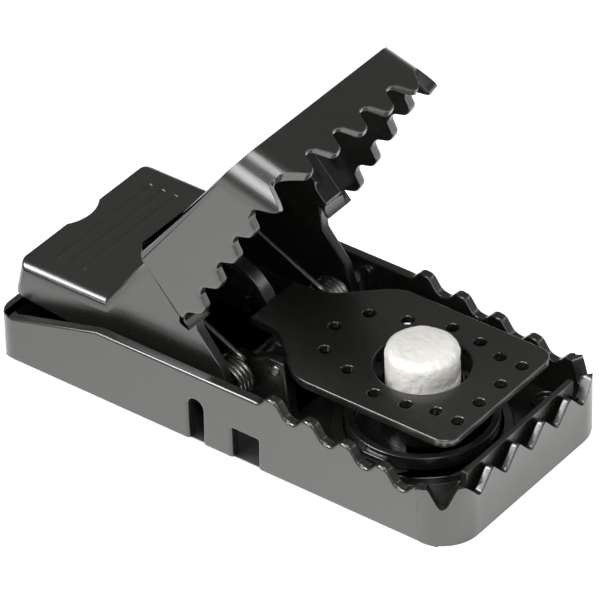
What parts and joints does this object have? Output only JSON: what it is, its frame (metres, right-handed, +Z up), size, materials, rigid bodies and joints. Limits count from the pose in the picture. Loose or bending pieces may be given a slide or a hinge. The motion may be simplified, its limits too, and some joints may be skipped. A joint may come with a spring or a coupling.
{
  "type": "snap mouse trap",
  "caption": "Set snap mouse trap of moulded plastic: toothed base tray, sprung toothed jaw with press-down handle, perforated trigger pedal and twist-out bait cup.",
  "frame": {"origin": "middle of the base's footprint, on the ground", "axes": "+X from the handle to the toothed front, +Y across the trap, +Z up"},
  "size_m": [0.098, 0.046, 0.0627],
  "materials": {
    "black_plastic": "gloss",
    "marshmallow": "powdery matte",
    "steel": "drawn",
    "spring_steel": "oiled"
  },
  "bodies": {
    "base": {"base": "black_plastic", "jaw_shaft": "steel", "pedal_pin": "steel", "near_spring": "spring_steel", "far_spring": "spring_steel"},
    "jaw": {"jaw": "black_plastic"},
    "pedal": {"pedal": "black_plastic"},
    "bait_cup": {"bait_cup": "black_plastic", "bait": "marshmallow"}
  },
  "joints": [
    {"name": "jaw_swing", "type": "hinge", "parent": "base", "child": "jaw", "pos_m": [-0.0042, 0, 0.0085], "axis": [0, 1, 0], "range_deg": [0, 69.5], "deforming": ["near_spring", "far_spring"]},
    {"name": "pedal_tip", "type": "hinge", "parent": "base", "child": "pedal", "pos_m": [0.003, 0, 0.0115], "axis": [0, 1, 0], "range_deg": [0, 5]},
    {"name": "cup_turn", "type": "hinge", "parent": "base", "child": "bait_cup", "pos_m": [0.0263, 0, 0], "axis": [0, 0, 1], "range_deg": [0, 40]}
  ]
}
